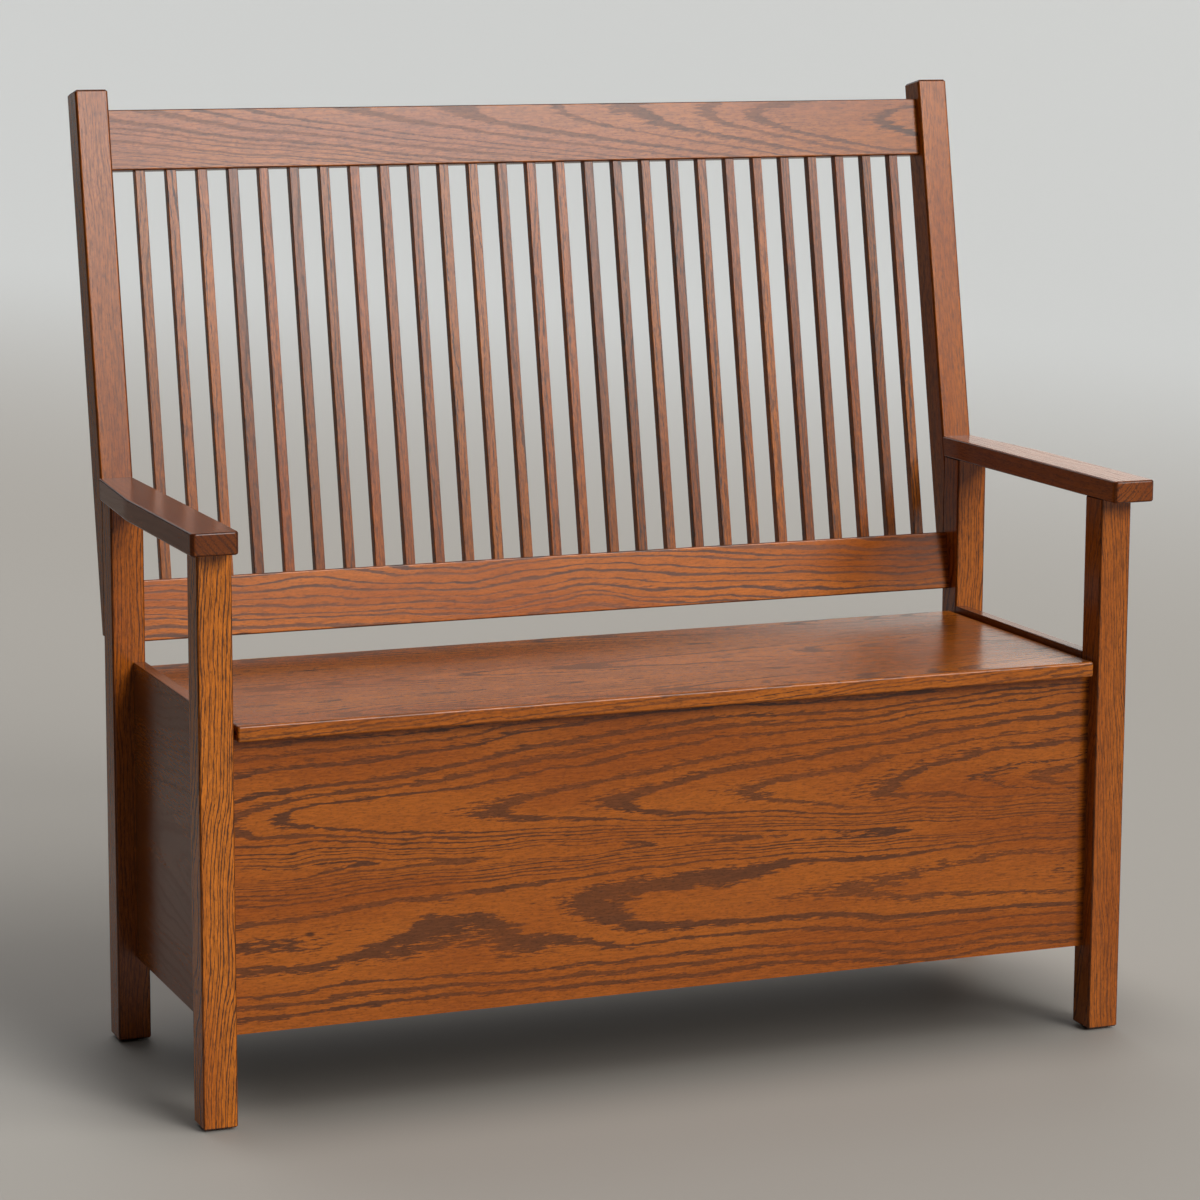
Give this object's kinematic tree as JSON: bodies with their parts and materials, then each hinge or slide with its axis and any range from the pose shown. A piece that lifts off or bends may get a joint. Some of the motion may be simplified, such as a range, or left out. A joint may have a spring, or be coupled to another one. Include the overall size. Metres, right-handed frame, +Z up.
{
  "type": "mission settle",
  "caption": "Oak settle bench with a raked spindle back, flat arms and a storage chest under a hinged seat lid.",
  "frame": {"origin": "floor under the middle of the overall box", "axes": "+X along the seat toward the sitter's left, +Y toward the back, +Z up; the seat faces -Y"},
  "size_m": [1.2192, 0.5888, 1.1679],
  "materials": {
    "oak": "satin lacquer over a medium reddish-brown stain",
    "inner_wood": "plain unfinished secondary wood",
    "hinge_brass": "plain antique brass",
    "glide_plastic": "matte dark plastic"
  },
  "bodies": {
    "chest": {"arm_left": "oak", "arm_right": "oak", "back_panel": "oak", "back_post_left": "oak", "back_post_right": "oak", "bottom_cleat_front": "inner_wood", "bottom_cleat_left": "inner_wood", "bottom_cleat_rear": "inner_wood", "bottom_cleat_right": "inner_wood", "bottom_panel": "inner_wood", "crest_rail": "oak", "end_panel_left": "oak", "end_panel_right": "oak", "foot_glides": "glide_plastic", "front_panel": "oak", "hinge_leaf_chest_left": "hinge_brass", "hinge_leaf_chest_middle": "hinge_brass", "hinge_leaf_chest_right": "hinge_brass", "hinge_pin_left": "hinge_brass", "hinge_pin_middle": "hinge_brass", "hinge_pin_right": "hinge_brass", "leg_front_left": "oak", "leg_front_right": "oak", "leg_rear_left": "oak", "leg_rear_right": "oak", "lid_ledger": "inner_wood", "lower_back_rail": "oak", "spindle_01": "oak", "spindle_02": "oak", "spindle_03": "oak", "spindle_04": "oak", "spindle_05": "oak", "spindle_06": "oak", "spindle_07": "oak", "spindle_08": "oak", "spindle_09": "oak", "spindle_10": "oak", "spindle_11": "oak", "spindle_12": "oak", "spindle_13": "oak", "spindle_14": "oak", "spindle_15": "oak", "spindle_16": "oak", "spindle_17": "oak", "spindle_18": "oak", "spindle_19": "oak", "spindle_20": "oak", "spindle_21": "oak", "spindle_22": "oak", "spindle_23": "oak", "spindle_24": "oak", "spindle_25": "oak", "spindle_26": "oak", "spindle_27": "oak"},
    "lid": {"hinge_leaf_lid_left": "hinge_brass", "hinge_leaf_lid_middle": "hinge_brass", "hinge_leaf_lid_right": "hinge_brass", "seat_lid": "oak"}
  },
  "joints": [
    {"name": "lid_hinge", "type": "hinge", "parent": "chest", "child": "lid", "pos_m": [0, 0.12385, 0.4695], "axis": [-1, 0, 0], "range_deg": [0, 101.5]}
  ]
}
